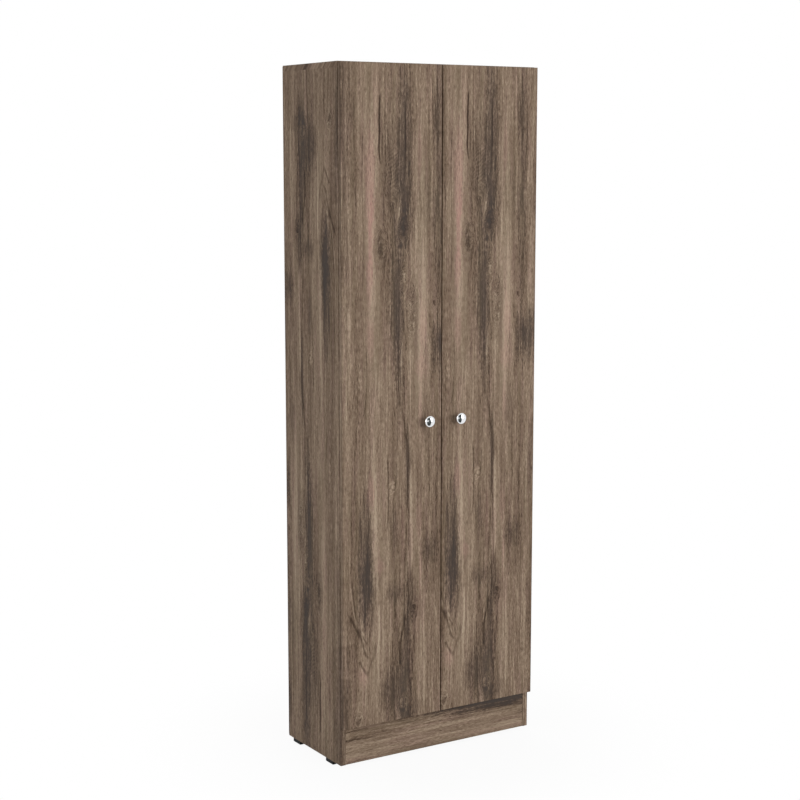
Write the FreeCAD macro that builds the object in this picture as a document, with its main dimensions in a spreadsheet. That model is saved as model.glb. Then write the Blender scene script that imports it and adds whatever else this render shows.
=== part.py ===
import FreeCAD, Part
import Sketcher
import os

# Storage cabinet: a tall flat-pack cupboard of laminated boards with two overlay doors.
# X runs to the right, Y to the back and Z up. The origin is on the floor, at the middle of the
# cabinet's width and of its whole depth from the knobs to the back.

SIZES = {
    # Carcass boards
    "cabinet_width": 600,
    "side_height": 1790,
    "side_depth": 282,
    "board": 15,
    "plinth_height": 102,
    "plinth_recess": 1.5,
    # Glides nailed under the side panels
    "glide_height": 11,
    "glide_length": 36,
    "glide_width": 14,
    "glide_chamfer": 2,
    "front_glide_inset": 44,
    "rear_glide_inset": 24,
    # Back: two thin panels and the strip that joins them
    "back_board": 3,
    "back_side_inset": 1,
    "back_end_inset": 3,
    "strip_flange": 14,
    "strip_thickness": 1,
    "strip_clearance": 0.1,
    # Shelves
    "shelf_setback": 20,
    "shelf_back_gap": 4,
    "shelf_end_gap": 0.7,
    "bracket_reach": 13,
    "bracket_height": 20,
    "bracket_width": 16,
    "bracket_thickness": 2.5,
    "bracket_inset": 30,
    # Doors
    "door_side_reveal": 0.3,
    "door_middle_gap": 3,
    "door_top_reveal": 1.5,
    "door_standoff": 1.5,
    "door_edge_radius": 1,
    "bumper_side": 9,
    "bumper_thickness": 1.2,
    "bumper_inset": 25,
    # Knobs
    "knob_height": 904,
    "knob_inset": 47.5,
    "knob_projection": 27,
    "knob_head_radius": 15.5,
    "knob_head_thickness": 9,
    "knob_bevel_height": 3,
    "knob_face_radius": 11.5,
    "knob_neck_radius": 5,
    "knob_thread_radius": 2,
    "knob_thread_depth": 10,
    "knob_thread_clearance": 0.05,
    "knob_screw_end_gap": 0.5,
    "knob_screw_clearance": 0.3,
    "knob_screw_head_radius": 4.5,
    "knob_screw_head_thickness": 2.6,
    # Hinges: one pin, a cup in the door and an arm on a plate on the side panel
    "hinge_end_inset": 100,
    "hinge_shelf_drop": 57,
    "pivot_inset": 5.5,
    "pivot_depth": 9.5,
    "hinge_pin_radius": 1.2,
    "hinge_pin_clearance": 0.05,
    "pin_seat_clearance": 0.02,
    "eye_radius": 2.1,
    "arm_sheet": 1.6,
    "arm_width": 10,
    "arm_neck_reach": 11.5,
    "arm_jog": 2.6,
    "arm_jog_start": 6,
    "arm_jog_end": 10,
    "arm_length": 58,
    "arm_flange_sheet": 1.2,
    "arm_flange_clearance": 0.3,
    "hinge_running_gap": 0.3,
    "cup_radius": 17.3,
    "cup_centre_inset": 22.5,
    "cup_wall": 0.8,
    "cup_well_left": 10,
    "cup_well_right": 36,
    "cup_well_height": 18,
    "cup_floor": 0.5,
    "cup_seat_clearance": 0.2,
    "cup_flange_thickness": 1,
    "cup_flange_height": 58,
    "cup_flange_reach": 12,
    "cup_flange_waist": 34,
    "plate_length": 40,
    "plate_start": 16,
    "plate_wing_height": 48,
    "plate_wing_width": 15,
    "plate_wing_thickness": 2,
    "plate_rail_width": 7,
    # Cam locks, cam bolts and corner blocks inside the carcass
    "joint_inset": 60,
    "block_side": 22,
    "block_length": 30,
    "block_chamfer": 12,
    "block_inset": 60,
    "cam_radius": 7.4,
    "cam_hole_radius": 7.5,
    "cam_thickness": 12,
    "cam_hole_depth": 12.5,
    "cam_setback": 24,
    "cam_cap": 3.4,
    "cam_mouth": 7.6,
    "bolt_radius": 2.45,
    "bolt_hole_radius": 2.5,
    "bolt_bore_radius": 4,
    "bolt_seat_depth": 10.5,
    "bolt_end_gap": 0.5,
}

# Places along the height, as shares of the space between the bottom and the top panel.
FIXED_SHELF_SHARE = 0.5
LOOSE_SHELF_SHARES = (1 / 3, 2 / 3)

doc = FreeCAD.newDocument("storage_cabinet")
sheet = doc.addObject("Spreadsheet::Sheet", "Sizes")
for row, (alias, number) in enumerate(SIZES.items(), start=1):
    sheet.set(f"A{row}", alias)
    sheet.set(f"B{row}", str(number))
    sheet.setAlias(f"B{row}", alias)
doc.recompute()


class Size:
    """A length with its value and the expression that binds it to the sheet."""

    def __init__(self, value, text):
        self.value = value
        self.text = text

    def __add__(self, other):
        other = as_size(other)
        return Size(self.value + other.value, f"({self.text} + {other.text})")

    def __sub__(self, other):
        other = as_size(other)
        return Size(self.value - other.value, f"({self.text} - {other.text})")

    def __mul__(self, other):
        other = as_size(other)
        return Size(self.value * other.value, f"({self.text} * {other.text})")

    def __truediv__(self, other):
        other = as_size(other)
        return Size(self.value / other.value, f"({self.text} / {other.text})")

    def __neg__(self):
        return Size(-self.value, f"(0 - {self.text})")

    __radd__ = __add__
    __rmul__ = __mul__

    def __rsub__(self, other):
        return as_size(other) - self


def as_size(length):
    """The length itself, or a plain number as a Size."""
    if isinstance(length, Size):
        return length
    return Size(length, f"{length!r}")


s = {alias: Size(number, f"Sizes.{alias}") for alias, number in SIZES.items()}

# Planes and spans that several pieces share
half_width = s["cabinet_width"] / 2
inner_width = s["cabinet_width"] - 2 * s["board"]
inner_half = inner_width / 2
front_depth = s["knob_projection"] + s["board"] + s["door_standoff"]
whole_depth = front_depth + s["side_depth"] + s["back_board"] + s["strip_thickness"]
carcass_front = front_depth - whole_depth / 2
carcass_back = carcass_front + s["side_depth"]
door_back = carcass_front - s["door_standoff"]
door_front = door_back - s["board"]
side_bottom = s["glide_height"]
side_top = side_bottom + s["side_height"]
cabinet_top = side_top + s["board"]
bottom_panel_low = side_bottom + s["plinth_height"]
floor_level = bottom_panel_low + s["board"]
clear_height = side_top - floor_level
fixed_shelf_low = floor_level + clear_height * FIXED_SHELF_SHARE - s["board"] / 2
fixed_shelf_high = fixed_shelf_low + s["board"]
door_low = bottom_panel_low
door_high = cabinet_top - s["door_top_reveal"]
door_width = half_width - s["door_side_reveal"] - s["door_middle_gap"] / 2
pivot_x = half_width - s["door_side_reveal"] - s["pivot_inset"]
pivot_y = door_back - s["pivot_depth"]
cam_depth = s["joint_inset"]
hinge_heights = (
    door_low + s["hinge_end_inset"],
    fixed_shelf_low - s["hinge_shelf_drop"],
    door_high - s["hinge_end_inset"],
)
lower_gap = fixed_shelf_low - floor_level
upper_gap = side_top - fixed_shelf_high
loose_shelf_lows = [
    base + gap * share - s["board"] / 2
    for base, gap in ((floor_level, lower_gap), (fixed_shelf_high, upper_gap))
    for share in LOOSE_SHELF_SHARES
]

# Depths and reaches that the hinges, doors and panels share
bracket_depths = (
    s["shelf_setback"] + s["bracket_inset"],
    s["side_depth"] - s["shelf_back_gap"] - s["bracket_inset"],
)
knob_x = s["door_middle_gap"] / 2 + s["knob_inset"]
cup_inner_depth = s["pivot_depth"] + s["eye_radius"] + s["hinge_running_gap"]
cup_hole_depth = cup_inner_depth + s["cup_floor"] + s["cup_seat_clearance"]
knuckle_left = s["pivot_inset"] - s["eye_radius"] - s["hinge_running_gap"] - s["cup_floor"]
knuckle_right = s["cup_centre_inset"] - s["cup_radius"] / 2
knuckle_half_height = s["arm_width"] / 2 + s["hinge_running_gap"] + s["cup_wall"]
flange_left = s["hinge_running_gap"]
plate_seat = s["board"] - s["door_side_reveal"] - s["pivot_inset"]

nodes = []


def bind(thing, **lengths):
    """Binds properties to sizes."""
    for name, length in lengths.items():
        thing.setExpression(name, as_size(length).text)


def place(thing, x, y, z, turn=None):
    """Sets a thing down at x, y, z, turned if asked."""
    if turn is not None:
        thing.Placement = FreeCAD.Placement(FreeCAD.Vector(0, 0, 0), turn)
    for axis, length in zip("xyz", (x, y, z)):
        thing.setExpression(f"Placement.Base.{axis}", as_size(length).text)


UPRIGHT = FreeCAD.Rotation()
ALONG_X = FreeCAD.Rotation(FreeCAD.Vector(0, 1, 0), 90)
BACK_X = FreeCAD.Rotation(FreeCAD.Vector(0, 1, 0), -90)
DOWN = FreeCAD.Rotation(FreeCAD.Vector(1, 0, 0), 180)
HALF_TURN = FreeCAD.Rotation(FreeCAD.Vector(0, 0, 1), 180)


def node(thing, label):
    """Names a finished sub-part, which is then written out."""
    thing.Label = label
    nodes.append(thing)
    return thing


def new_body(name, x, y, z):
    body = doc.addObject("PartDesign::Body", name)
    place(body, x, y, z)
    return body


def origin_plane(body, role):
    """One of the body's own base planes."""
    return next(plane for plane in body.Origin.OriginFeatures if plane.Role == role)


def new_sketch(body, role, offset=0):
    """An empty sketch on a base plane of the body, moved along the plane's normal."""
    sketch = body.newObject("Sketcher::SketchObject", f"{body.Name}_sketch")
    sketch.AttachmentSupport = [(origin_plane(body, role), "")]
    sketch.MapMode = "FlatFace"
    sketch.setExpression("AttachmentOffset.Base.z", as_size(offset).text)
    return sketch


def hold_point(sketch, index, end, across, up):
    """Fixes one point of a sketch at a distance from its origin."""
    for kind, other_axis, length in (("DistanceX", -2, across), ("DistanceY", -1, up)):
        length = as_size(length)
        if length.value == 0:
            sketch.addConstraint(Sketcher.Constraint("PointOnObject", index, end, other_axis))
            continue
        held = sketch.addConstraint(
            Sketcher.Constraint(kind, -1, 1, index, end, length.value)
        )
        sketch.setExpression(f"Constraints[{held}]", length.text)


def vector(across, up):
    return FreeCAD.Vector(as_size(across).value, as_size(up).value, 0)


def outline(body, role, points, offset=0):
    """A closed sketch of straight lines through the points."""
    sketch = new_sketch(body, role, offset)
    corners = [vector(*point) for point in points]
    for number, corner in enumerate(corners):
        end = corners[(number + 1) % len(corners)]
        sketch.addGeometry(Part.LineSegment(corner, end))
    for number, point in enumerate(points):
        before = (number - 1) % len(points)
        sketch.addConstraint(Sketcher.Constraint("Coincident", before, 2, number, 1))
        hold_point(sketch, number, 1, *point)
    return sketch


def pad(body, sketch, length, midplane=False, backwards=False):
    """Pushes a sketch out into the body."""
    feature = body.newObject("PartDesign::Pad", f"{body.Name}_pad")
    feature.Profile = sketch
    feature.Midplane = midplane
    feature.Reversed = backwards
    bind(feature, Length=length)
    sketch.Visibility = False
    return feature


def pocket(body, sketch, length, backwards=False, midplane=False):
    """Cuts a sketch into the body, and makes sure that something was cut."""
    doc.recompute()
    before = body.Shape.Volume
    feature = body.newObject("PartDesign::Pocket", f"{body.Name}_pocket")
    feature.Profile = sketch
    feature.Midplane = midplane
    feature.Reversed = backwards
    bind(feature, Length=length)
    sketch.Visibility = False
    doc.recompute()
    if body.Shape.Volume >= before:
        raise RuntimeError(f"{feature.Name} cuts nothing")
    return feature


def revolve(body, sketch):
    """Turns a sketch once round its upright axis."""
    feature = body.newObject("PartDesign::Revolution", f"{body.Name}_revolution")
    feature.Profile = sketch
    feature.ReferenceAxis = (sketch, ["V_Axis"])
    feature.Angle = 360
    sketch.Visibility = False
    return feature


def block(body, length, width, height):
    """The plain board that a body starts from, with its low corner at the body's origin."""
    feature = body.newObject("PartDesign::AdditiveBox", f"{body.Name}_block")
    bind(feature, Length=length, Width=width, Height=height)
    return feature


# Each face of a board: its base plane, which extent it lies at, the sign of the plane's normal,
# and whether a pocket has to be reversed to go into the wood.
FACES = {
    "left": ("YZ_Plane", None, 1, True),
    "right": ("YZ_Plane", 0, 1, False),
    "front": ("XZ_Plane", None, -1, False),
    "back": ("XZ_Plane", 1, -1, True),
    "under": ("XY_Plane", None, 1, True),
    "top": ("XY_Plane", 2, 1, False),
}


def drill(body, extent, face, points, radius, depth):
    """Round holes of one size in one face of a board, at distances from the body's origin."""
    role, far, sign, backwards = FACES[face]
    offset = 0 if far is None else extent[far] * sign
    sketch = new_sketch(body, role, offset)
    for across, up in points:
        circle = Part.Circle(vector(across, up), FreeCAD.Vector(0, 0, 1), radius.value)
        index = sketch.addGeometry(circle)
        hold_point(sketch, index, 3, across, up)
        held = sketch.addConstraint(Sketcher.Constraint("Radius", index, radius.value))
        sketch.setExpression(f"Constraints[{held}]", radius.text)
    pocket(body, sketch, depth, backwards)


def group(label, things):
    """Separate solids of one kind in one node."""
    compound = doc.addObject("Part::Compound", label)
    compound.Links = things
    for thing in things:
        thing.Visibility = False
    return node(compound, label)


def rod(name, radius, length, x, y, z, turn):
    """A plain round rod that starts at x, y, z and runs the way that it is turned."""
    cylinder = doc.addObject("Part::Cylinder", name)
    bind(cylinder, Radius=radius, Height=length)
    place(cylinder, x, y, z, turn)
    return cylinder


def side_panel(label, hand):
    """A side panel; hand is -1 for the left one and 1 for the right one."""
    x = -half_width if hand < 0 else inner_half
    inside = "right" if hand < 0 else "left"
    extent = (s["board"], s["side_depth"], s["side_height"])
    body = new_body(label, x, carcass_front, side_bottom)
    block(body, *extent)
    bottom_joint = bottom_panel_low + s["board"] / 2 - side_bottom
    bolt_hole = s["bolt_seat_depth"] + s["bolt_end_gap"]
    drill(body, extent, inside, [(cam_depth, bottom_joint)], s["bolt_hole_radius"], bolt_hole)
    cam = [(cam_depth, s["side_height"] - s["cam_setback"])]
    drill(body, extent, inside, cam, s["cam_hole_radius"], s["cam_hole_depth"])
    middle = s["board"] / 2
    drill(body, extent, "top", [(middle, cam_depth)], s["bolt_bore_radius"], s["cam_setback"])
    return node(body, label)


def top_panel():
    """The top panel lies over both side panels; a bolt goes down into each."""
    extent = (s["cabinet_width"], s["side_depth"], s["board"])
    body = new_body("top_panel", -half_width, carcass_front, side_top)
    block(body, *extent)
    middles = (s["board"] / 2, s["cabinet_width"] - s["board"] / 2)
    bolts = [(x, cam_depth) for x in middles]
    bolt_hole = s["bolt_seat_depth"] + s["bolt_end_gap"]
    drill(body, extent, "under", bolts, s["bolt_hole_radius"], bolt_hole)
    return node(body, "top_panel")


def bottom_panel():
    """The board between the side panels, with a cam lock at each end."""
    extent = (inner_width, s["side_depth"], s["board"])
    body = new_body("bottom_panel", -inner_half, carcass_front, bottom_panel_low)
    block(body, *extent)
    cams = [(x, cam_depth) for x in (s["cam_setback"], inner_width - s["cam_setback"])]
    drill(body, extent, "under", cams, s["cam_hole_radius"], s["cam_hole_depth"])
    bolt = [(cam_depth, s["board"] / 2)]
    for face in ("left", "right"):
        drill(body, extent, face, bolt, s["bolt_bore_radius"], s["cam_setback"])
    return node(body, "bottom_panel")


def fixed_shelf():
    """The middle shelf, screwed down on its brackets, as deep as the side panels."""
    body = new_body("fixed_shelf", -inner_half, carcass_front, fixed_shelf_low)
    block(body, inner_width, s["side_depth"], s["board"])
    return node(body, "fixed_shelf")


def plinth_board():
    """The board under the doors that hides the space below the bottom panel."""
    body = new_body("plinth_board", -inner_half, carcass_front + s["plinth_recess"], side_bottom)
    block(body, inner_width, s["board"], s["plinth_height"])
    return node(body, "plinth_board")


def loose_shelf(label, low):
    """A shelf that lies on four brackets, a little short of the side panels, doors and back."""
    body = new_body(
        label, s["shelf_end_gap"] - inner_half, carcass_front + s["shelf_setback"], low
    )
    depth = s["side_depth"] - s["shelf_setback"] - s["shelf_back_gap"]
    block(body, inner_width - 2 * s["shelf_end_gap"], depth, s["board"])
    return node(body, label)


def back_panel(label, hand):
    """One half of the thin back, nailed to the carcass's rear edges."""
    middle_gap = s["strip_thickness"] / 2 + s["strip_clearance"]
    width = half_width - s["back_side_inset"] - middle_gap
    x = s["back_side_inset"] - half_width if hand < 0 else middle_gap
    body = new_body(label, x, carcass_back, side_bottom + s["back_end_inset"])
    block(body, width, s["back_board"], cabinet_top - side_bottom - 2 * s["back_end_inset"])
    return node(body, label)


def back_strip():
    """A plastic strip of T section that holds the two halves of the back together."""
    body = new_body("back_joint_strip", 0, carcass_back, side_bottom + s["back_end_inset"])
    half_web = s["strip_thickness"] / 2
    half_flange = s["strip_flange"] / 2
    rear = s["back_board"] + s["strip_thickness"]
    points = [
        (-half_web, 0),
        (half_web, 0),
        (half_web, s["back_board"]),
        (half_flange, s["back_board"]),
        (half_flange, rear),
        (-half_flange, rear),
        (-half_flange, s["back_board"]),
        (-half_web, s["back_board"]),
    ]
    sketch = outline(body, "XY_Plane", points)
    pad(body, sketch, cabinet_top - side_bottom - 2 * s["back_end_inset"])
    return node(body, "back_joint_strip")


def glide(label, hand, depth):
    """A moulded glide under a side panel, chamfered where it meets the floor."""
    x = -half_width if hand < 0 else inner_half
    body = new_body(label, x + (s["board"] - s["glide_width"]) / 2, carcass_front + depth, 0)
    moulding = block(body, s["glide_width"], s["glide_length"], s["glide_height"])
    doc.recompute()
    low_edges = [
        f"Edge{number}"
        for number, edge in enumerate(body.Shape.Edges, start=1)
        if edge.BoundBox.ZMax - body.Shape.BoundBox.ZMin < s["glide_chamfer"].value
    ]
    feature = body.newObject("PartDesign::Chamfer", f"{label}_chamfer")
    feature.Base = (moulding, low_edges)
    bind(feature, Size=s["glide_chamfer"])
    return node(body, label)


def door(label, hand):
    """An overlay door with cup bores, knuckle recesses and the hole for its knob's screw."""
    extent = (door_width, s["board"], door_high - door_low)
    x = s["door_side_reveal"] - half_width if hand < 0 else s["door_middle_gap"] / 2
    body = new_body(label, x, door_front, door_low)
    blank = block(body, *extent)
    doc.recompute()
    upright_edges = [
        f"Edge{number}"
        for number, edge in enumerate(body.Shape.Edges, start=1)
        if edge.BoundBox.ZLength > edge.BoundBox.XLength + edge.BoundBox.YLength
    ]
    rounding = body.newObject("PartDesign::Fillet", f"{label}_fillet")
    rounding.Base = (blank, upright_edges)
    bind(rounding, Radius=s["door_edge_radius"])

    def from_hinge(inset):
        """A place across the door, measured from its hinge side."""
        return as_size(inset) if hand < 0 else door_width - inset

    cups = [(from_hinge(s["cup_centre_inset"]), z - door_low) for z in hinge_heights]
    drill(body, extent, "back", cups, s["cup_radius"] + s["cup_seat_clearance"], cup_hole_depth)
    for z in hinge_heights:
        low = z - door_low - knuckle_half_height - s["cup_seat_clearance"]
        high = z - door_low + knuckle_half_height + s["cup_seat_clearance"]
        near = from_hinge(knuckle_left - s["cup_seat_clearance"])
        far = from_hinge(knuckle_right)
        points = [(near, low), (far, low), (far, high), (near, high)]
        sketch = outline(body, "XZ_Plane", points, -s["board"])
        pocket(body, sketch, cup_hole_depth, backwards=True)
    screw = [(from_hinge(door_width - s["knob_inset"]), s["knob_height"] - door_low)]
    hole = s["knob_thread_radius"] + s["knob_screw_clearance"]
    drill(body, extent, "back", screw, hole, s["board"])
    return node(body, label)


def bumpers(label, hand):
    """Two soft pads on the back of a door, against the top and bottom panels."""
    side = s["bumper_side"]
    x = hand * (s["door_middle_gap"] / 2 + s["bumper_inset"]) - side / 2
    pads = []
    for middle in (bottom_panel_low + s["board"] / 2, side_top + s["board"] / 2):
        pad_piece = doc.addObject("Part::Box", f"{label}_pad")
        bind(pad_piece, Length=side, Width=s["bumper_thickness"], Height=side)
        place(pad_piece, x, door_back, middle - side / 2)
        pads.append(pad_piece)
    return group(label, pads)


def knob(label, hand):
    """A turned knob: a neck and a bevelled head on one axis, threaded from behind."""
    body = new_body(label, hand * knob_x, door_front, s["knob_height"])
    thread = s["knob_thread_radius"] + s["knob_thread_clearance"]
    thread_end = s["knob_thread_depth"] + s["knob_screw_end_gap"]
    head_back = s["knob_projection"] - s["knob_head_thickness"]
    rim = s["knob_projection"] - s["knob_bevel_height"]
    points = [
        (thread, 0),
        (s["knob_neck_radius"], 0),
        (s["knob_neck_radius"], -head_back),
        (s["knob_head_radius"], -head_back),
        (s["knob_head_radius"], -rim),
        (s["knob_face_radius"], -s["knob_projection"]),
        (0, -s["knob_projection"]),
        (0, -thread_end),
        (thread, -thread_end),
    ]
    revolve(body, outline(body, "XY_Plane", points))
    return node(body, label)


def knob_screw(label, hand):
    """A machine screw through the door from inside, into the knob's thread."""
    body = new_body(label, hand * knob_x, door_back, s["knob_height"])
    shank = s["board"] + s["knob_thread_depth"]
    points = [
        (0, -shank),
        (s["knob_thread_radius"], -shank),
        (s["knob_thread_radius"], 0),
        (s["knob_screw_head_radius"], 0),
        (s["knob_screw_head_radius"], s["knob_screw_head_thickness"]),
        (0, s["knob_screw_head_thickness"]),
    ]
    revolve(body, outline(body, "XY_Plane", points))
    return node(body, label)


def hinge_body(name, hand, z):
    """A body with its origin on a hinge's pin; X to the middle of the cabinet for hand -1."""
    return new_body(name, hand * pivot_x, pivot_y, z)


def hinge_cup(name, hand, z):
    """The cup: a pressed pot in the door's bore, its flange, and the box round the knuckle."""
    inward = -hand
    body = hinge_body(name, hand, z)
    back_face = s["pivot_depth"]
    floor = cup_hole_depth - s["cup_seat_clearance"]
    centre = inward * (s["cup_centre_inset"] - s["pivot_inset"])
    disc(body, centre, s["cup_radius"], back_face - floor, floor)
    wing = s["cup_flange_height"] / 2
    waist = s["cup_flange_waist"] / 2
    reach = s["cup_flange_reach"]
    points = [
        (inward * flange_left, -waist),
        (centre, -wing),
        (centre + inward * reach, -wing),
        (centre + inward * s["cup_radius"], -waist),
        (centre + inward * s["cup_radius"], waist),
        (centre + inward * reach, wing),
        (centre, wing),
        (inward * flange_left, waist),
    ]
    sketch = outline(body, "XZ_Plane", points, -back_face)
    pad(body, sketch, s["cup_flange_thickness"], backwards=True)
    near = inward * (knuckle_left - s["pivot_inset"])
    far = inward * (knuckle_right - s["pivot_inset"])
    high = knuckle_half_height
    points = [(near, -high), (far, -high), (far, high), (near, high)]
    pad(body, outline(body, "XZ_Plane", points, floor - back_face), floor, backwards=True)
    top = back_face + s["cup_flange_thickness"]
    depth = floor - s["cup_floor"] + s["cup_flange_thickness"]
    left = inward * (s["cup_well_left"] - s["pivot_inset"])
    right = inward * (s["cup_well_right"] - s["pivot_inset"])
    half_well = s["cup_well_height"] / 2
    points = [(left, -half_well), (right, -half_well), (right, half_well), (left, half_well)]
    pocket(body, outline(body, "XZ_Plane", points, -top), depth, backwards=True)
    near = inward * (0 - s["eye_radius"] - s["hinge_running_gap"])
    high = s["arm_width"] / 2 + s["hinge_running_gap"]
    points = [(near, -high), (centre, -high), (centre, high), (near, high)]
    pocket(body, outline(body, "XZ_Plane", points, -top), depth, backwards=True)
    snug = s["hinge_pin_radius"] + s["pin_seat_clearance"]
    points = [(-snug, -snug), (snug, -snug), (snug, snug), (-snug, snug)]
    pocket(body, outline(body, "XY_Plane", points), 2 * knuckle_half_height, midplane=True)
    return body


def ring(sketch, across, radius):
    """A circle on the sketch's level axis."""
    circle = Part.Circle(vector(across, 0), FreeCAD.Vector(0, 0, 1), radius.value)
    index = sketch.addGeometry(circle)
    hold_point(sketch, index, 3, across, 0)
    held = sketch.addConstraint(Sketcher.Constraint("Radius", index, radius.value))
    sketch.setExpression(f"Constraints[{held}]", radius.text)
    return index


def disc(body, centre, radius, start, length):
    """A round pad along Y, from start on."""
    sketch = new_sketch(body, "XZ_Plane", -start)
    ring(sketch, centre, radius)
    return pad(body, sketch, length, backwards=True)


def hinge_arm(name, hand, z):
    """The arm: an eye on the pin, a bent neck out of the cup, and a channel on the plate."""
    inward = -hand
    body = hinge_body(name, hand, z)
    half_sheet = s["arm_sheet"] / 2
    neck = s["arm_neck_reach"]
    outer = neck + s["arm_sheet"]
    jog = s["arm_jog"]
    start = s["pivot_depth"] + s["arm_jog_start"]
    end = s["pivot_depth"] + s["arm_jog_end"]
    tail = s["pivot_depth"] + s["arm_length"]
    points = [
        (0, -half_sheet),
        (inward * outer, -half_sheet),
        (inward * outer, start),
        (inward * (outer + jog), end),
        (inward * (outer + jog), tail),
        (inward * (neck + jog), tail),
        (inward * (neck + jog), end),
        (inward * neck, start),
        (inward * neck, half_sheet),
        (0, half_sheet),
    ]
    pad(body, outline(body, "XY_Plane", points), s["arm_width"], midplane=True)
    sketch = new_sketch(body, "XY_Plane")
    ring(sketch, 0, s["eye_radius"])
    pad(body, sketch, s["arm_width"], midplane=True)
    web = neck + jog
    flange = web - plate_seat - s["plate_wing_thickness"] - s["arm_flange_clearance"]
    for low in (-s["arm_width"] / 2, s["arm_width"] / 2 - s["arm_flange_sheet"]):
        points = [
            (inward * (web - flange), end),
            (inward * web, end),
            (inward * web, tail),
            (inward * (web - flange), tail),
        ]
        pad(body, outline(body, "XY_Plane", points, low), s["arm_flange_sheet"])
    sketch = new_sketch(body, "XY_Plane")
    ring(sketch, 0, s["hinge_pin_radius"] + s["hinge_pin_clearance"])
    pocket(body, sketch, 2 * s["arm_width"], midplane=True)
    return body


def hinge_plate(name, hand, z):
    """The mounting plate: two wings flat on the side panel and a rail inside the arm."""
    inward = -hand
    body = hinge_body(name, hand, z)
    wall = plate_seat
    wing = s["plate_wing_height"] / 2
    rail = s["plate_rail_width"] / 2
    start = s["pivot_depth"] + s["plate_start"]
    length = s["plate_length"]
    middle = start + length / 2
    half_wing = s["plate_wing_width"] / 2
    points = [
        (start, -rail),
        (middle - half_wing, -rail),
        (middle - half_wing, -wing),
        (middle + half_wing, -wing),
        (middle + half_wing, -rail),
        (start + length, -rail),
        (start + length, rail),
        (middle + half_wing, rail),
        (middle + half_wing, wing),
        (middle - half_wing, wing),
        (middle - half_wing, rail),
        (start, rail),
    ]
    away = hand > 0
    sketch = outline(body, "YZ_Plane", points, inward * wall)
    pad(body, sketch, s["plate_wing_thickness"], backwards=away)
    points = [(start, -rail), (start + length, -rail), (start + length, rail), (start, rail)]
    rise = s["arm_neck_reach"] + s["arm_jog"] - wall
    pad(body, outline(body, "YZ_Plane", points, inward * wall), rise, backwards=away)
    return body


def hinge_pin(name, hand, z):
    """The pin on which one hinge turns."""
    radius = s["hinge_pin_radius"]
    low = z - knuckle_half_height
    return rod(name, radius, 2 * knuckle_half_height, hand * pivot_x, pivot_y, low, UPRIGHT)


def cam_bolt(name, x, y, z, turn):
    """A bolt from its seat in one board, with its end inside the cam of the other."""
    reach = s["bolt_seat_depth"] + s["cam_setback"] + s["bolt_radius"]
    return rod(name, s["bolt_radius"], reach, x, y, z, turn)


def cam_lock(name, x, y, z, turn, mouth_turn):
    """A cam: a disc with a mouth towards its bolt, cut from below the cap that shows."""
    disc_piece = rod(f"{name}_disc", s["cam_radius"], s["cam_thickness"], 0, 0, 0, UPRIGHT)
    mouth = doc.addObject("Part::Box", f"{name}_mouth")
    back_wall = s["bolt_radius"] + s["bolt_end_gap"]
    bind(
        mouth,
        Length=s["cam_radius"] + back_wall + s["bolt_end_gap"],
        Width=s["cam_mouth"],
        Height=s["cam_thickness"] - s["cam_cap"] + s["bolt_end_gap"],
    )
    place(mouth, -back_wall, -s["cam_mouth"] / 2, s["cam_cap"], UPRIGHT)
    cam = doc.addObject("Part::Cut", name)
    cam.Base = disc_piece
    cam.Tool = mouth
    place(cam, x, y, z, turn.multiply(mouth_turn))
    return cam


def shelf_bracket(hand, y, z):
    """A plastic angle bracket: one leg flat on the side panel, the other under the shelf."""
    body = new_body("shelf_bracket", hand * inner_half, y + s["bracket_width"] / 2, z)
    wall = s["bracket_thickness"]
    reach = s["bracket_reach"]
    points = [
        (0, 0),
        (-hand * reach, 0),
        (-hand * reach, -wall),
        (-hand * wall, -wall),
        (-hand * wall, -s["bracket_height"]),
        (0, -s["bracket_height"]),
    ]
    pad(body, outline(body, "XZ_Plane", points), s["bracket_width"])
    return body


def corner_block(plane, x, y, z, turned):
    """A plastic block with a chamfered corner, screwed into the angle of two boards."""
    body = new_body("corner_block", x, y, z)
    side = turned * s["block_side"]
    flat = turned * (s["block_side"] - s["block_chamfer"])
    drop = s["block_side"]
    points = [(0, 0), (side, 0), (side, s["block_chamfer"] - drop), (flat, -drop), (0, -drop)]
    pad(body, outline(body, plane, points), s["block_length"])
    return body


side_panel("left_side_panel", -1)
side_panel("right_side_panel", 1)
top_panel()
bottom_panel()
fixed_shelf()
plinth_board()
for number, low in enumerate(loose_shelf_lows, start=1):
    loose_shelf(f"loose_shelf_{number}", low)
back_panel("left_back_panel", -1)
back_panel("right_back_panel", 1)
back_strip()
front_glide = s["front_glide_inset"]
rear_glide = s["side_depth"] - s["rear_glide_inset"] - s["glide_length"]
for end, depth in (("front", front_glide), ("rear", rear_glide)):
    for side, hand in (("left", -1), ("right", 1)):
        glide(f"{end}_{side}_glide", hand, depth)

for side, hand in (("left", -1), ("right", 1)):
    door(f"{side}_door", hand)
    knob(f"{side}_knob", hand)
    knob_screw(f"{side}_knob_screw", hand)
    bumpers(f"{side}_door_bumpers", hand)
    makers = (("cup", hinge_cup), ("arm", hinge_arm), ("plate", hinge_plate), ("pin", hinge_pin))
    for piece, maker in makers:
        copies = [maker(f"{side}_hinge_{piece}", hand, z) for z in hinge_heights]
        group(f"{side}_hinge_{piece}s", copies)

brackets = []
for low in (*loose_shelf_lows, fixed_shelf_low):
    for hand in (-1, 1):
        for depth in bracket_depths:
            brackets.append(shelf_bracket(hand, carcass_front + depth, low))
group("shelf_brackets", brackets)

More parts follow.
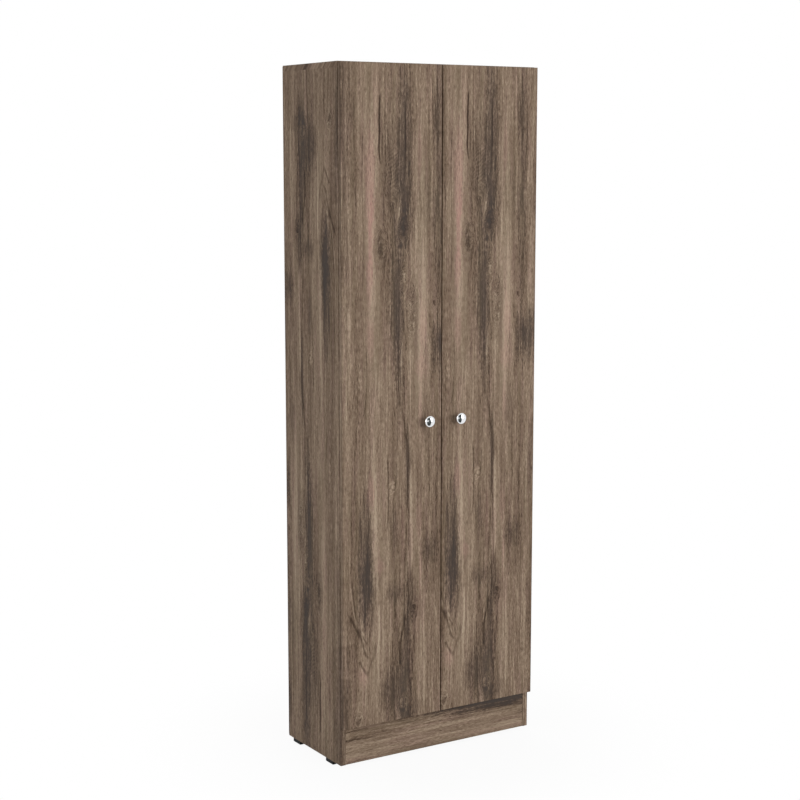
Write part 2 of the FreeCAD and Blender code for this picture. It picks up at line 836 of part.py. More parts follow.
plinth_back = carcass_front + s["plinth_recess"] + s["board"]
block_end = inner_half - s["block_inset"]
blocks = [
    corner_block("YZ_Plane", x - s["block_length"] / 2, plinth_back, bottom_panel_low, 1)
    for x in (-block_end, 0, block_end)
]
block_back = carcass_back - s["block_inset"] + s["block_length"] / 2
for hand in (-1, 1):
    blocks.append(corner_block("XZ_Plane", hand * inner_half, block_back, side_top, -hand))
group("corner_blocks", blocks)

cam_y = carcass_front + cam_depth
bottom_middle = bottom_panel_low + s["board"] / 2
bolts = []
cams = []
for hand in (-1, 1):
    outward = BACK_X if hand < 0 else ALONG_X
    inward = ALONG_X if hand < 0 else BACK_X
    bolt_x = hand * (inner_half + s["bolt_seat_depth"])
    bolts.append(cam_bolt("cam_bolt", bolt_x, cam_y, bottom_middle, inward))
    cam_x = hand * (inner_half - s["cam_setback"])
    mouth = HALF_TURN if hand < 0 else UPRIGHT
    cams.append(cam_lock("cam_lock", cam_x, cam_y, bottom_panel_low, UPRIGHT, mouth))
    middle = hand * (half_width - s["board"] / 2)
    bolts.append(cam_bolt("cam_bolt", middle, cam_y, side_top + s["bolt_seat_depth"], DOWN))
    cam_z = side_top - s["cam_setback"]
    mouth = UPRIGHT if hand < 0 else HALF_TURN
    cams.append(cam_lock("cam_lock", hand * inner_half, cam_y, cam_z, outward, mouth))
group("cam_bolts", bolts)
group("cam_locks", cams)

doc.recompute()
for thing in doc.Objects:
    faults = [word for word in thing.State if word in ("Invalid", "Error")]
    if faults:
        raise RuntimeError(f"{thing.Label}: {faults}")
for thing in nodes:
    if thing.Shape.isNull() or not thing.Shape.isValid():
        raise RuntimeError(f"{thing.Label} has no valid shape")
os.makedirs("parts", exist_ok=True)
for thing in nodes:
    thing.Shape.exportStep(f"parts/{thing.Label}.step")
print(f"{len(nodes)} sub-parts")
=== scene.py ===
import math

import bmesh
import bpy
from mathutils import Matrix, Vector


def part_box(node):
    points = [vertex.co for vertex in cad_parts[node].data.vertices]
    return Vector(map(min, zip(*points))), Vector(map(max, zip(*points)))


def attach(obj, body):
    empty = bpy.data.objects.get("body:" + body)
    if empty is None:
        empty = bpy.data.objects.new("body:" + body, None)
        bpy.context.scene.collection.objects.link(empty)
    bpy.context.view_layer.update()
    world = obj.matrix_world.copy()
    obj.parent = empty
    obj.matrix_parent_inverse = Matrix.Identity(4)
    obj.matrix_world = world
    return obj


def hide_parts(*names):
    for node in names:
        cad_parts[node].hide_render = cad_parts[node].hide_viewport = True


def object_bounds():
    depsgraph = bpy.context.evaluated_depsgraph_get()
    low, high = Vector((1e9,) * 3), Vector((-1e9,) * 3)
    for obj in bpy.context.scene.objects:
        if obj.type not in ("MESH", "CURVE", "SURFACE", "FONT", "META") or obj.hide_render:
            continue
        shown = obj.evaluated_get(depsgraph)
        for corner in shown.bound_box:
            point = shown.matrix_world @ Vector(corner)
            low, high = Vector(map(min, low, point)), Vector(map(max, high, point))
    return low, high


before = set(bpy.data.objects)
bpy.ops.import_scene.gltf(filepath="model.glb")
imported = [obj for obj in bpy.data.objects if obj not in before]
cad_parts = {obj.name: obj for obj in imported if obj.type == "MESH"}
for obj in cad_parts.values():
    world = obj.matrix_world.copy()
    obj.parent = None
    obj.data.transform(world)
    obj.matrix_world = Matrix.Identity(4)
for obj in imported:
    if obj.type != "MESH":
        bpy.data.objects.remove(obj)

# Storage cabinet: laminated boards with an oak print, two doors, chrome knobs and the fittings inside.
# Lengths are in metres, and places inside a finish are in millimetres, as they are measured on a board.
cad_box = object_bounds()
MM = 0.001
WHITE = (1.0, 1.0, 1.0, 1.0)


def shade(red, green, blue):
    """A colour as the eye reads it, from 0 to 255, as the light that a material takes."""
    parts = [number / 255 for number in (red, green, blue)]
    linear = [part / 12.92 if part < 0.04045 else ((part + 0.055) / 1.055) ** 2.4 for part in parts]
    return (*linear, 1.0)


class Value:
    """A number that changes over a surface; arithmetic on it adds Math nodes."""

    def __init__(self, nodes, socket):
        self.nodes = nodes
        self.socket = socket

    def math(self, operation, first, second=0.0):
        """A Math node on one or two numbers."""
        return self.nodes.add("ShaderNodeMath", {"operation": operation}, {0: first, 1: second})

    def __add__(self, other):
        return self.math("ADD", self, other)

    def __sub__(self, other):
        return self.math("SUBTRACT", self, other)

    def __rsub__(self, other):
        return self.math("SUBTRACT", other, self)

    def __mul__(self, other):
        return self.math("MULTIPLY", self, other)

    def __truediv__(self, other):
        return self.math("DIVIDE", self, other)

    def __abs__(self):
        return self.math("ABSOLUTE", self)

    __radd__ = __add__
    __rmul__ = __mul__

    def wave(self):
        return self.math("SINE", self)

    def above(self, limit):
        return self.math("GREATER_THAN", self, limit)

    def largest(self, other):
        return self.math("MAXIMUM", self, other)

    def beside(self, output):
        """Another output of the same node."""
        return Value(self.nodes, self.socket.node.outputs[output])


class Nodes:
    """The nodes of one material or of one group that materials share."""

    def __init__(self, tree):
        self.tree = tree

    def add(self, kind, settings, inputs, output=0):
        """A node with its settings and the values or links of its sockets."""
        node = self.tree.nodes.new(kind)
        for name, setting in settings.items():
            if name == "stops":
                self.set_stops(node.color_ramp, setting)
            elif name == "bends":
                self.set_bends(node.mapping, setting)
            else:
                setattr(node, name, setting)
        for key, value in inputs.items():
            if isinstance(value, Value):
                self.tree.links.new(value.socket, node.inputs[key])
            else:
                node.inputs[key].default_value = value
        return Value(self, node.outputs[output]) if node.outputs else None

    def set_stops(self, ramp, stops):
        while len(ramp.elements) < len(stops):
            ramp.elements.new(1.0)
        for element, (place, colour) in zip(ramp.elements, stops):
            element.position = place
            element.color = colour

    def set_bends(self, mapping, bends):
        points = mapping.curves[0].points
        while len(points) < len(bends):
            points.new(0.5, 0.5)
        for point, bend in zip(points, bends):
            point.location = bend
        mapping.update()

    def place(self):
        """The three coordinates of a point of the piece, in millimetres."""
        point = self.add("ShaderNodeTexCoord", {}, {}, "Object")
        point = self.add("ShaderNodeVectorMath", {"operation": "SCALE"}, {0: point, "Scale": 1 / MM})
        return [self.add("ShaderNodeSeparateXYZ", {}, {0: point}, axis) for axis in "XYZ"]

    def facing(self):
        """The three parts of the surface's own direction."""
        normal = self.add("ShaderNodeTexCoord", {}, {}, "Normal")
        return [self.add("ShaderNodeSeparateXYZ", {}, {0: normal}, axis) for axis in "XYZ"]

    def vector(self, x, y, z=0.0):
        return self.add("ShaderNodeCombineXYZ", {}, {0: x, 1: y, 2: z})

    def noise(self, vector, detail=2.0, roughness=0.5, twist=0.0):
        """Soft noise from 0 to 1 with its cells one unit of the vector wide."""
        inputs = {"Vector": vector, "Scale": 1.0, "Detail": detail, "Roughness": roughness}
        inputs["Distortion"] = twist
        return self.add("ShaderNodeTexNoise", {"noise_dimensions": "3D"}, inputs)

    def smooth(self, value, low, high, start=0.0, end=1.0):
        """A soft step from start to end as the value goes from low to high."""
        inputs = {"Value": value, 1: low, 2: high, 3: start, 4: end}
        return self.add("ShaderNodeMapRange", {"interpolation_type": "SMOOTHSTEP"}, inputs)

    def blend(self, factor, first, second, how="MIX"):
        """Two colours mixed by a factor."""
        settings = {"data_type": "RGBA", "blend_type": how, "clamp_result": False}
        return self.add("ShaderNodeMix", settings, {0: factor, 6: first, 7: second}, 2)

    def ramp(self, value, stops):
        return self.add("ShaderNodeValToRGB", {"stops": stops}, {0: value})

    def bump(self, height, distance, strength=1.0):
        inputs = {"Height": height, "Distance": distance, "Strength": strength}
        return self.add("ShaderNodeBump", {}, inputs)


class Finish(Nodes):
    """A material."""

    def __init__(self, name):
        self.material = bpy.data.materials.new(name)
        self.material.use_nodes = True
        super().__init__(self.material.node_tree)
        self.tree.nodes.clear()

    def surface(self, inputs):
        """Ends the material in one shader."""
        shader = self.add("ShaderNodeBsdfPrincipled", {}, inputs)
        self.add("ShaderNodeOutputMaterial", {}, {"Surface": shader})
        return self.material


# The oak print, as it lies on the left door: across from the cabinet's left edge, height from the floor.
# A soft mark has its middle, its height, its half width, its half length and its strength.
# Smoke is a dark grey-brown shadow, tan a light band and pink a reddish bloom.
SMOKE = [
    (186, 1590, 14, 190, 0.8),
    (150, 1570, 30, 120, 0.3),
    (174, 1545, 42, 150, 0.36),
    (172, 190, 44, 130, 0.3),
    (183, 1735, 10, 60, 0.55),
    (180, 1480, 19, 85, 0.55),
    (180, 1405, 15, 42, 0.4),
    (164, 1215, 18, 135, 1.3),
    (169, 1130, 9, 170, 0.6),
    (67, 560, 15, 125, 1.35),
    (71, 475, 18, 80, 1.2),
    (196, 800, 7, 85, 0.95),
    (156, 455, 22, 19, 0.8),
    (203, 430, 12, 62, 0.8),
    (190, 290, 12, 110, 0.65),
    (150, 200, 26, 50, 0.9),
    (190, 180, 17, 75, 0.8),
    (180, 128, 16, 26, 1.0),
    (306, 1098, 26, 48, 1.8),
    (276, 1455, 24, 50, 0.5),
    (280, 1700, 12, 60, 0.4),
    (10, 1640, 15, 330, 0.55),
    (288, 1610, 10, 330, 0.6),
    (263, 560, 17, 30, 0.75),
    (8, 150, 12, 150, 0.7),
    (320, 780, 14, 60, 0.5),
    (212, 1195, 13, 70, 0.5),
    (113, 1350, 11, 45, 0.7),
    (42, 128, 10, 22, 0.6),
    (152, 630, 7, 40, 0.6),
    (250, 905, 12, 40, 0.4),
    (222, 140, 12, 20, 0.5),
]
TAN = [
    (84, 1560, 22, 330, 0.75),
    (92, 1250, 24, 170, 0.5),
    (112, 900, 30, 300, 0.45),
    (236, 1400, 16, 260, 0.75),
    (240, 1120, 15, 190, 0.85),
    (228, 940, 10, 130, 0.6),
    (45, 1330, 14, 160, 0.5),
    (104, 300, 20, 170, 0.65),
    (100, 650, 17, 120, 0.55),
    (62, 200, 22, 60, 0.4),
    (212, 640, 8, 130, 0.6),
    (15, 1050, 18, 200, 0.3),
    (245, 250, 18, 150, 0.35),
    (16, 640, 12, 200, 0.4),
]
PINK = [
    (82, 1530, 13, 125, 1.2),
    (86, 1380, 9, 90, 1.0),
    (84, 1270, 9, 60, 0.85),
    (83, 1130, 10, 50, 0.9),
    (232, 1600, 8, 60, 0.75),
    (240, 1150, 11, 60, 0.75),
    (234, 1045, 15, 30, 0.75),
    (82, 730, 10, 42, 1.1),
    (180, 620, 6, 90, 0.7),
    (110, 532, 12, 18, 0.9),
    (230, 640, 8, 55, 0.75),
    (234, 500, 4, 60, 0.8),
    (58, 245, 15, 26, 0.9),
    (100, 1740, 9, 70, 0.4),
    (338, 1230, 8, 80, 0.7),
    (234, 930, 5, 60, 0.5),
    (222, 370, 14, 50, 0.45),
]
# A knot has its middle, height, half width and half length, and 1 for a dark heart or -1 for a light one.
KNOTS = [
    (115, 1352, 10, 20, 1),
    (112, 1383, 8, 14, 1),
    (158, 1490, 8, 18, -1),
    (183, 1404, 9, 18, 1),
    (208, 1232, 7, 16, -1),
    (203, 1205, 5, 14, -1),
    (215, 1180, 6, 20, -1),
    (209, 1152, 5, 17, 1),
    (184, 1275, 6, 28, -1),
    (146, 734, 8, 15, -1),
    (214, 408, 8, 12, 1),
    (180, 150, 8, 20, -1),
    (44, 132, 9, 18, 1),
    (277, 1205, 5, 12, 1),
]
# A line has its half width, its strength and the points that it runs through, from the top down:
# each point is a place across and a height.
DARK_LINES = [
    (1.7, 1.7, [(112, 1732), (110, 1690), (111, 1640), (109, 1600), (113, 1572)]),
    (1.4, 0.8, [(187, 1705), (188, 1640), (188, 1580), (186, 1530)]),
    (2.2, 0.5, [(167, 1120), (168, 1040), (169, 1000), (174, 950), (184, 905), (191, 865)]),
    (3.2, 0.65, [(188, 872), (194, 850), (197, 810), (196, 760)]),
    (2.2, 0.6, [(196, 760), (198, 700), (199, 640), (199, 575)]),
    (1.4, 0.7, [(193, 640), (192, 560), (194, 500), (197, 440), (194, 380)]),
    (2.4, 1.0, [(188, 388), (183, 365), (177, 340), (173, 315), (173, 260)]),
    (2.5, 0.8, [(27, 500), (31, 455), (37, 418), (43, 395), (51, 372), (60, 352), (69, 336)]),
    (3.0, 0.3, [(95, 470), (88, 410), (80, 365), (73, 340), (70, 334)]),
    (2.9, 0.85, [(20, 412), (28, 398), (40, 375), (52, 352), (58, 330), (64, 308), (71, 297)]),
    (2.9, 0.85, [(36, 296), (46, 292), (52, 278), (59, 265), (69, 250)]),
    (3.2, 0.5, [(97, 330), (92, 300), (84, 285), (77, 268), (70, 250)]),
    (1.5, 0.8, [(135, 815), (136, 770), (138, 730), (136, 680), (135, 640)]),
    (1.3, 0.8, [(160, 800), (159, 760), (156, 735), (149, 722), (141, 722)]),
    (1.3, 0.6, [(72, 1100), (72, 1020), (69, 960), (62, 930), (52, 922)]),
    (1.3, 0.5, [(62, 1640), (60, 1500), (63, 1380), (61, 1260)]),
    (1.2, 0.5, [(26, 860), (28, 780), (25, 700), (27, 600)]),
    (1.6, 0.5, [(282, 1790), (281, 1760), (284, 1740)]),
]
LIGHT_LINES = [
    (2.4, 1.1, [(24, 490), (29, 450), (34, 420), (41, 398), (50, 376), (60, 356)]),
    (2.0, 0.7, [(180, 1110), (175, 1060), (178, 1020), (181, 990)]),
    (2.4, 0.8, [(205, 780), (206, 700), (207, 620), (210, 560), (206, 520)]),
    (1.6, 0.7, [(193, 600), (192, 540), (193, 480)]),
    (2.2, 0.6, [(96, 1100), (98, 1000), (88, 930)]),
    (2.2, 0.7, [(106, 420), (107, 360), (103, 310)]),
    (2.0, 0.6, [(184, 1790), (188, 1770), (183, 1750)]),
    (1.8, 0.6, [(247, 260), (248, 200), (247, 150)]),
]
# From the darkest ink to the lightest
PRINT_TONES = [
    (0.0, shade(50, 38, 30)),
    (0.25, shade(84, 68, 55)),
    (0.5, shade(117, 98, 82)),
    (0.75, shade(146, 127, 108)),
    (1.0, shade(174, 156, 135)),
]
# The field that a line's curve covers, a little larger than the print
PRINT_HEIGHT = 2000
PRINT_WIDTH = 400


def oak_print_group():
    """The print's colour, and the depth of its grain, from places on a board in millimetres."""
    tree = bpy.data.node_groups.new("oak_print", "ShaderNodeTree")
    names = ("Across", "Along", "Through", "Facing", "Seed", "Smoke_and_painted_shade", "Pinkness", "Lightness")
    for name in names:
        tree.interface.new_socket(name, in_out="INPUT", socket_type="NodeSocketFloat")
    tree.interface.new_socket("Colour", in_out="OUTPUT", socket_type="NodeSocketColor")
    tree.interface.new_socket("Depth", in_out="OUTPUT", socket_type="NodeSocketFloat")
    print_nodes = Nodes(tree)
    across, along, through, facing, seed, smoke_and_painted_shade, pinkness, lightness = (
        print_nodes.add("NodeGroupInput", {}, {}, name) for name in names
    )
    smooth = print_nodes.smooth
    vector = print_nodes.vector
    noise = print_nodes.noise

    # On a board's ends the print is the edge band's, so it runs along the end
    end_grain = abs(facing).above(0.7)
    side = across + through
    across = side + end_grain * (through * 3.0 - side)
    along = along + end_grain * (side - along)

    # The places waver, so that no mark has a ruled edge
    wander = noise(vector(across / 60, along / 330, seed), 2.0) - 0.5
    ripple = noise(vector(across / 12, along / 65, seed + 2), 2.0) - 0.5
    gnarl = noise(vector(across / 8, along / 13, seed + 4), 2.0) - 0.5
    across = across + wander * 11 + ripple * 3 + gnarl * 1.2
    along = along + ripple * 14
    spot = vector(across, along)
    gnarled_spot = vector(across + gnarl * 16, along + (gnarl + ripple) * 22)

    def away_from(middle, height, half_width, half_length, point=spot):
        """How far a point is from a mark's middle, as a share of the mark's own size."""
        scale = (1 / half_width, 1 / half_length, 0.0)
        offset = (-middle / half_width, -height / half_length, 0.0)
        settings = {"operation": "MULTIPLY_ADD"}
        reach = print_nodes.add("ShaderNodeVectorMath", settings, {0: point, 1: scale, 2: offset})
        return print_nodes.add("ShaderNodeVectorMath", {"operation": "LENGTH"}, {0: reach}, "Value")

    def distances(table):
        """How far a point is from each soft mark of one kind, with the mark's strength."""
        return [(away_from(*sizes), strength) for *sizes, strength in table]

    def marks(found, ragged, soft):
        """Soft marks together, each faded from its middle to its edge."""
        total = 0.0
        for away, strength in found:
            total = smooth(away + ragged, 1.0 + soft, 1.0 - soft, 0.0, strength) + total
        return total

    # The grain bends round each knot, and rings lie inside it
    grain = across
    rings = 0.0
    dark_heart = 0.0
    light_heart = 0.0
    for middle, height, half_width, half_length, heart in KNOTS:
        away = away_from(middle, height, half_width, half_length, gnarled_spot)
        pull = smooth(away, 2.8, 0.2)
        grain = grain - (across - middle) * pull * 1.3
        rings = smooth(away, 1.9, 0.5) * (away * 8).wave() + rings
        if heart > 0:
            dark_heart = smooth(away, 1.1, 0.0) + dark_heart
        else:
            light_heart = smooth(away, 0.8, 0.1) + light_heart

    # The grain, from broad bands down to single fibres
    broad = noise(vector(grain / 27, along / 900, seed), 2.0) - 0.5
    streak = noise(vector(grain / 9, along / 230, seed), 3.0, 0.55) - 0.5
    thread = noise(vector(grain / 3.8, along / 75, seed), 3.0, 0.6) - 0.5
    fibre = noise(vector(grain / 2.0, along / 13, seed), 3.0, 0.7) - 0.5
    fleck = noise(vector(grain / 2.4, along / 20, seed + 5), 2.0, 0.6)
    dark_fleck = smooth(fleck, 0.58, 0.74)
    light_fleck = smooth(fleck, 0.4, 0.26)
    growth = (grain * 0.5 + streak * 16 + wander * 14).wave()
    growth_line = smooth(growth, 0.45, 0.98) * smooth(broad, -0.06, 0.1)
    ragged = streak * 1.3 + thread * 1.8 + fibre * 1.4 + gnarl * 0.9

    def lines(table):
        """Thin lines that follow the grain through their points."""
        total = 0.0
        for half_width, strength, points in table:
            bends = sorted((height / PRINT_HEIGHT, middle / PRINT_WIDTH) for middle, height in points)
            inputs = {"Value": along / PRINT_HEIGHT}
            curve = print_nodes.add("ShaderNodeFloatCurve", {"bends": bends}, inputs)
            away = abs(across - curve * PRINT_WIDTH) / half_width + ragged * 0.6
            top = points[0][1]
            foot = points[-1][1]
            inside = smooth(along, top + 14, top - 10) * smooth(along, foot - 14, foot + 10)
            total = smooth(away, 2.1, 0.3, 0.0, strength) * inside + total
        return total

    smoke_found = distances(SMOKE)
    smoke = marks(smoke_found, ragged * 1.25, 0.95) * smoke_and_painted_shade
    halo = marks(smoke_found, ragged * 0.5, 1.3) * smoke_and_painted_shade
    tan = marks(distances(TAN), ragged, 0.75)
    pink = marks(distances(PINK), ragged, 0.6) * pinkness
    dark_line = lines(DARK_LINES)
    light_line = lines(LIGHT_LINES)

    # Fine slanting ridges high up, and a nest of arches half way down
    ridges = smooth(away_from(154, 1555, 26, 55), 1.3, 0.5)
    ridges = ridges * ((along - across * 0.75) * 0.62 + ripple * 6).wave()
    arches = smooth(away_from(50, 990, 34, 120), 1.25, 0.6)
    from_crown = across - 52
    arches = arches * ((along - from_crown * from_crown * 0.2) * 0.26 + ripple * 7).wave()

    tone = 0.572 + lightness + broad * 0.75 + streak * 0.75 + thread * 0.85 + fibre * 1.25
    tone = tone + tan * 0.2 + light_line * 0.26 + light_fleck * 0.13 + light_heart * 0.2
    tone = tone - growth_line * 0.08 - dark_fleck * 0.26 - dark_heart * 0.3
    tone = tone - smoke * 0.148 - halo * 0.045 - dark_line * 0.26 + pink * 0.1
    tone = tone + rings * 0.09 + ridges * 0.09 + arches * 0.07
    colour = print_nodes.ramp(tone, PRINT_TONES)

    # Tints over the tones
    cool = smooth(noise(vector(grain / 24, along / 420, seed + 9), 2.0), 0.48, 0.7)
    rosy = smooth(noise(vector(grain / 13, along / 170, seed + 7), 2.0), 0.47, 0.68)
    colour = print_nodes.blend(cool * 0.3, colour, shade(108, 94, 74))
    colour = print_nodes.blend(rosy * 0.28, colour, shade(132, 106, 97), "COLOR")
    colour = print_nodes.blend(pink * 0.55, colour, shade(166, 132, 119), "COLOR")
    colour = print_nodes.blend(halo * 0.1, colour, shade(92, 74, 60))
    colour = print_nodes.blend(smoke * 0.28, colour, shade(73, 66, 62))
    colour = print_nodes.blend(dark_line * 0.34, colour, shade(54, 43, 35))
    pores = smooth(noise(vector(grain / 0.8, along / 26, seed + 5), 2.0, 0.7), 0.6, 0.7)
    colour = print_nodes.blend(pores * 0.4, colour, shade(58, 47, 40))
    depth = fibre * 0.6 + thread * 0.4 - pores * 0.8 - dark_line - dark_fleck * 0.4
    print_nodes.add("NodeGroupOutput", {}, {"Colour": colour, "Depth": depth})
    return tree


OAK_PRINT = oak_print_group()


def oak_colour(finish, place, seed, smoke_and_painted_shade=0.7, pinkness=0.4, lightness=0.0):
    """The print on one board: its colour and the depth of its grain."""
    inputs = dict(zip(("Across", "Along", "Through", "Facing"), place))
    inputs.update({"Seed": seed, "Smoke_and_painted_shade": smoke_and_painted_shade, "Pinkness": pinkness, "Lightness": lightness})
    colour = finish.add("ShaderNodeGroup", {"node_tree": OAK_PRINT}, inputs, "Colour")
    return colour, colour.beside("Depth")


def oak_print(name, lay, *strengths):
    """The laminate on one board; lay turns a point of the board into its place on the print."""
    finish = Finish(name)
    colour, depth = oak_colour(finish, lay(finish.place(), finish.facing()), *strengths)
    return finish.surface({
        "Base Color": colour,
        "Roughness": 0.58 - depth * 0.1,
        "Specular IOR Level": 0.06,
        "Normal": finish.bump(depth, 0.12 * MM, 0.6),
    })


print_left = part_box("left_side_panel")[0].x / MM
print_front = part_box("left_door")[0].y / MM
print_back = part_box("left_side_panel")[1].y / MM
# Where the left side panel's back edge and its foot fall on the print
SIDE_BACK_ACROSS = 286
SIDE_FOOT_ALONG = 1805
# How far the right door's print lies from the left door's
RIGHT_DOOR_STEP = 267
RIGHT_DOOR_LIFT = 12
# How far up the print starts on the back's inner face
BACK_LIFT = 40


def upright_door(step, lift):
    """The print on a door, moved across by a step and up by a lift."""
    return lambda p, n: (p[0] - (print_left + step), p[2] - lift, p[1] - print_front, n[2])


def upright_side(step):
    """The print on a side panel, turned half a turn and moved across by a step."""
    shift = SIDE_BACK_ACROSS - print_back + step
    return lambda p, n: (p[1] + shift, SIDE_FOOT_ALONG - p[2], p[0] - print_left, n[2])


def level_board(step, shift):
    """The print on a level board or the plinth, with its grain along the cabinet's width."""
    return lambda p, n: (p[1] + p[2] + step, p[0] + shift, 0.0, n[0])


# Each board has the way the print lies on it, its seed, and how smoky, pink and light it is.
# On the plinth, the extra smoke and the lowered lightness are painted shade.
BOARDS = {
    "left_door": (upright_door(0, 0), 1.0, 1.0, 1.0),
    "right_door": (upright_door(RIGHT_DOOR_STEP, RIGHT_DOOR_LIFT), 1.0, 1.0, 1.0),
    "left_side_panel": (upright_side(0), 1.0, 1.3, 0.25),
    "right_side_panel": (upright_side(-570), 4.0, 1.0, 0.5),
    "top_panel": (level_board(-1720, 1300), 7.0),
    "bottom_panel": (level_board(40, 700), 11.0),
    # The plinth's strong smoke and lowered lightness are painted shade: they darken it where the doors'
    # overhang shades it.
    "plinth_board": (level_board(181, 1020), 5.0, 1.9, 0.2, -0.02),
    "fixed_shelf": (level_board(-860, 620), 17.0),
    "loose_shelf_1": (level_board(-300, 1400), 21.0),
    "loose_shelf_2": (level_board(-570, 500), 25.0),
    "loose_shelf_3": (level_board(-1100, 980), 31.0),
    "loose_shelf_4": (level_board(-1420, 1520), 37.0),
}


def backing_board(name, seed):
    """Thin fibreboard: the print on the face inside, raw pressed fibres behind."""
    finish = Finish(name)
    x, y, z = finish.place()
    ny, nz = finish.facing()[1:]
    colour = oak_colour(finish, (x - print_left, z + BACK_LIFT, 0.0, nz), seed)[0]
    fibres = finish.noise(finish.vector(x / 3.0, z / 3.0, y / 3.0), 5.0, 0.7, 0.6)
    clouds = finish.noise(finish.vector(x / 60, z / 60, seed), 3.0, 0.5)
    flecks = finish.smooth(finish.noise(finish.vector(x / 1.2, z / 1.2, 4.0), 3.0, 0.7), 0.62, 0.7)
    tone = fibres * 0.6 + clouds * 0.4
    fibre_tones = [(0.2, shade(70, 50, 37)), (0.5, shade(97, 73, 55)), (0.8, shade(126, 99, 76))]
    raw = finish.ramp(tone, fibre_tones)
    raw = finish.blend(flecks * 0.5, raw, shade(56, 40, 31))
    inside = (0.0 - ny).above(0.5)
    colour = finish.blend(inside, raw, colour)
    return finish.surface({
        "Base Color": colour,
        "Roughness": 0.78 - inside * 0.24,
        "Normal": finish.bump(fibres, 0.2 * MM, 0.5),
    })


def plated_metal(name, colour, rough, brush, wear=0.0):
    """Plated metal: brushing in its roughness, three lengths in millimetres, and haze in its colour."""
    finish = Finish(name)
    x, y, z = finish.place()
    lines = finish.noise(finish.vector(x / brush[0], y / brush[1], z / brush[2]), 3.0, 0.6)
    haze = finish.noise(finish.vector(x / 9, y / 9, z / 9), 3.0, 0.6)
    tint = (*(part * 0.86 for part in colour[:3]), 1.0)
    pitted = finish.smooth(haze, 0.62, 0.78) * wear
    return finish.surface({
        "Base Color": finish.blend(haze * 0.5 + pitted * 0.4, colour, tint),
        "Metallic": 1.0,
        "Roughness": rough + (lines - 0.5) * 0.09 + pitted * 0.15,
        "Normal": finish.bump(lines, 0.03 * MM, 0.4),
    })


def moulded_plastic(name, colour, rough, grain=0.9):
    """Moulded plastic with its fine spark-eroded skin."""
    finish = Finish(name)
    x, y, z = finish.place()
    skin = finish.noise(finish.vector(x / grain, y / grain, z / grain), 3.0, 0.6)
    flow = finish.noise(finish.vector(x / 14, y / 14, z / 14), 2.0)
    lighter = (*(part * 1.5 + 0.004 for part in colour[:3]), 1.0)
    return finish.surface({
        "Base Color": finish.blend(flow * 0.45 + skin * 0.25, colour, lighter),
        "Specular IOR Level": 0.08,
        "Roughness": rough + (skin - 0.5) * 0.18 + (flow - 0.5) * 0.1,
        "Normal": finish.bump(skin, 0.06 * MM, 0.6),
    })


def soft_pad(name):
    """Clear soft polymer, a little dusty."""
    finish = Finish(name)
    x, y, z = finish.place()
    dust = finish.noise(finish.vector(x / 1.5, y / 1.5, z / 1.5), 4.0, 0.6)
    return finish.surface({
        "Base Color": finish.ramp(dust, [(0.3, shade(196, 197, 193)), (0.7, shade(222, 223, 219))]),
        "Roughness": 0.3 + dust * 0.25,
        "Transmission Weight": 0.35,
        "Normal": finish.bump(dust, 0.05 * MM, 0.5),
    })


chrome = plated_metal("knob_chrome", shade(236, 237, 239), 0.07, (4.0, 4.0, 4.0))
screw_steel = plated_metal("screw_steel", shade(190, 189, 186), 0.3, (0.4, 0.4, 0.4), 0.4)
nickel = plated_metal("hinge_nickel", shade(201, 196, 189), 0.26, (0.5, 6.0, 0.5), 0.3)
zinc = plated_metal("cam_zinc", shade(176, 178, 180), 0.42, (0.6, 0.6, 0.6), 0.8)
black_plastic = moulded_plastic("black_plastic", shade(17, 17, 18), 0.5)
bracket_plastic = moulded_plastic("bracket_plastic", shade(101, 84, 70), 0.45)
strip_plastic = moulded_plastic("strip_plastic", shade(66, 52, 43), 0.4, 0.7)
pad_polymer = soft_pad("soft_pad")

BOARD_EDGE = 0.35 * MM
GLIDE_EDGE = 0.4 * MM
SMALL_EDGE = 0.3 * MM
SHARP_CORNER = math.radians(50)


def finish_node(node, material, edge=0.0):
    """Gives a CAD node its material and, where asked, a slightly rounded edge."""
    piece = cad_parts[node]
    piece.data.materials.clear()
    piece.data.materials.append(material)
    if edge:
        weld = piece.modifiers.new("joined_corners", "WELD")
        weld.merge_threshold = 0.01 * MM
        bevel = piece.modifiers.new("eased_edges", "BEVEL")
        bevel.width = edge
        bevel.segments = 2
        bevel.limit_method = "ANGLE"
        bevel.angle_limit = SHARP_CORNER


for node, (lay, *strengths) in BOARDS.items():
    finish_node(node, oak_print(f"oak_print_{node}", lay, *strengths), BOARD_EDGE)
finish_node("left_back_panel", backing_board("backing_left", 3.0))
finish_node("right_back_panel", backing_board("backing_right", 3.5))
finish_node("back_joint_strip", strip_plastic)
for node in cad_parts:
    if node.endswith("_glide"):
        finish_node(node, black_plastic, GLIDE_EDGE)
    elif node.endswith("_bumpers"):
        finish_node(node, pad_polymer, SMALL_EDGE)
    elif node.endswith("_knob_screw"):
        finish_node(node, screw_steel)
    elif "_hinge_" in node:
        finish_node(node, nickel)
    elif node.startswith("cam_"):
        finish_node(node, zinc)
    elif node in ("shelf_brackets", "corner_blocks"):
        finish_node(node, bracket_plastic, SMALL_EDGE)


def placed_mesh(name, form, material):
    """An object of a finished form, at the origin as the CAD's own are."""
    mesh = bpy.data.meshes.new(name)
    form.to_mesh(mesh)
    form.free()
    mesh.materials.append(material)
    placed = bpy.data.objects.new(name, mesh)
    bpy.context.collection.objects.link(placed)
    return placed


def new_piece(name, form, material, body):
    """A piece of the cabinet that the CAD leaves to this script."""
    piece = placed_mesh(name, form, material)
    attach(piece, body)
    return piece


OUT_FRONT = Vector((0, -1, 0))
OUT_BACK = Vector((0, 1, 0))
DOWN = Vector((0, 0, -1))


